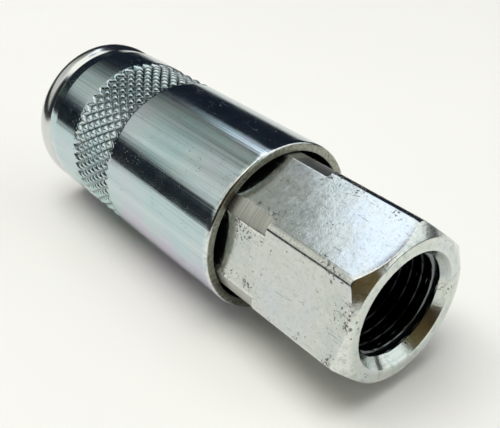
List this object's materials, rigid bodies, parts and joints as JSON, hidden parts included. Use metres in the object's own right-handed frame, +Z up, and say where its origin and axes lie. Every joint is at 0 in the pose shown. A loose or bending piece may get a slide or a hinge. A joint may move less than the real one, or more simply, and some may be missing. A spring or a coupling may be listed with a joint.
{
  "type": "quick disconnect coupler",
  "caption": "Quick disconnect air coupler: a knurled spring-loaded sleeve over a ball-lock plug socket with a shut-off valve, on a hexagon body with a female pipe thread.",
  "frame": {"origin": "the middle of the base: on the surface that the coupler lies on, below its axis and halfway along its length", "axes": "+X along the coupler's axis from the threaded hexagon end to the plug end, +Z up from the surface that it lies on"},
  "size_m": [0.0582, 0.021, 0.021],
  "materials": {
    "zinc_sleeve": "bright blue zinc plate on turned steel, knurled band",
    "zinc_nose": "bright zinc plate, polished",
    "zinc_hexagon": "zinc plate on hexagon bar, satin with scratches",
    "spring_steel": "drawn wire",
    "ball_steel": "polished bearing steel",
    "valve_brass": "turned brass",
    "seal_rubber": "black nitrile rubber"
  },
  "bodies": {
    "body": {"hex_body": "zinc_hexagon", "body_o_ring": "seal_rubber", "socket_body": "zinc_nose", "sleeve_spring": "spring_steel", "plug_seal": "seal_rubber", "valve_seat": "valve_brass", "seat_o_ring": "seal_rubber", "valve_cage": "valve_brass", "valve_guide": "valve_brass", "valve_spring": "spring_steel"},
    "sleeve_carrier": {"thrust_washer": "spring_steel"},
    "sleeve": {"sleeve": "zinc_sleeve"},
    "valve": {"valve_stem": "valve_brass", "valve_seal": "seal_rubber", "valve_nose": "valve_brass"},
    "ball_1": {"ball_1": "ball_steel"},
    "ball_2": {"ball_2": "ball_steel"},
    "ball_3": {"ball_3": "ball_steel"},
    "ball_4": {"ball_4": "ball_steel"},
    "ball_5": {"ball_5": "ball_steel"},
    "ball_6": {"ball_6": "ball_steel"}
  },
  "joints": [
    {"name": "sleeve_slide", "type": "slide", "parent": "body", "child": "sleeve_carrier", "axis": [-1, 0, 0], "range_m": [0, 0.004], "stiffness_N_per_m": 2000, "springref_m": -0.006, "deforming": ["sleeve_spring"]},
    {"name": "sleeve_spin", "type": "hinge", "parent": "sleeve_carrier", "child": "sleeve", "pos_m": [0, 0, 0.0105], "axis": [1, 0, 0], "continuous": true},
    {"name": "valve_slide", "type": "slide", "parent": "body", "child": "valve", "axis": [-1, 0, 0], "range_m": [0, 0.0035], "stiffness_N_per_m": 500, "springref_m": -0.004, "deforming": ["valve_spring"]},
    {"name": "ball_1_slide", "type": "slide", "parent": "body", "child": "ball_1", "axis": [0, 0.866, 0.5], "range_m": [0, 0.001]},
    {"name": "ball_2_slide", "type": "slide", "parent": "body", "child": "ball_2", "axis": [0, 0, 1], "range_m": [0, 0.001]},
    {"name": "ball_3_slide", "type": "slide", "parent": "body", "child": "ball_3", "axis": [0, -0.866, 0.5], "range_m": [0, 0.001]},
    {"name": "ball_4_slide", "type": "slide", "parent": "body", "child": "ball_4", "axis": [0, -0.866, -0.5], "range_m": [0, 0.001]},
    {"name": "ball_5_slide", "type": "slide", "parent": "body", "child": "ball_5", "axis": [0, 0, -1], "range_m": [0, 0.001]},
    {"name": "ball_6_slide", "type": "slide", "parent": "body", "child": "ball_6", "axis": [0, 0.866, -0.5], "range_m": [0, 0.001]}
  ],
  "couplings": [
    {"joint": "ball_1_slide", "follows": "sleeve_slide", "ratio": 0.25},
    {"joint": "ball_2_slide", "follows": "sleeve_slide", "ratio": 0.25},
    {"joint": "ball_3_slide", "follows": "sleeve_slide", "ratio": 0.25},
    {"joint": "ball_4_slide", "follows": "sleeve_slide", "ratio": 0.25},
    {"joint": "ball_5_slide", "follows": "sleeve_slide", "ratio": 0.25},
    {"joint": "ball_6_slide", "follows": "sleeve_slide", "ratio": 0.25}
  ]
}
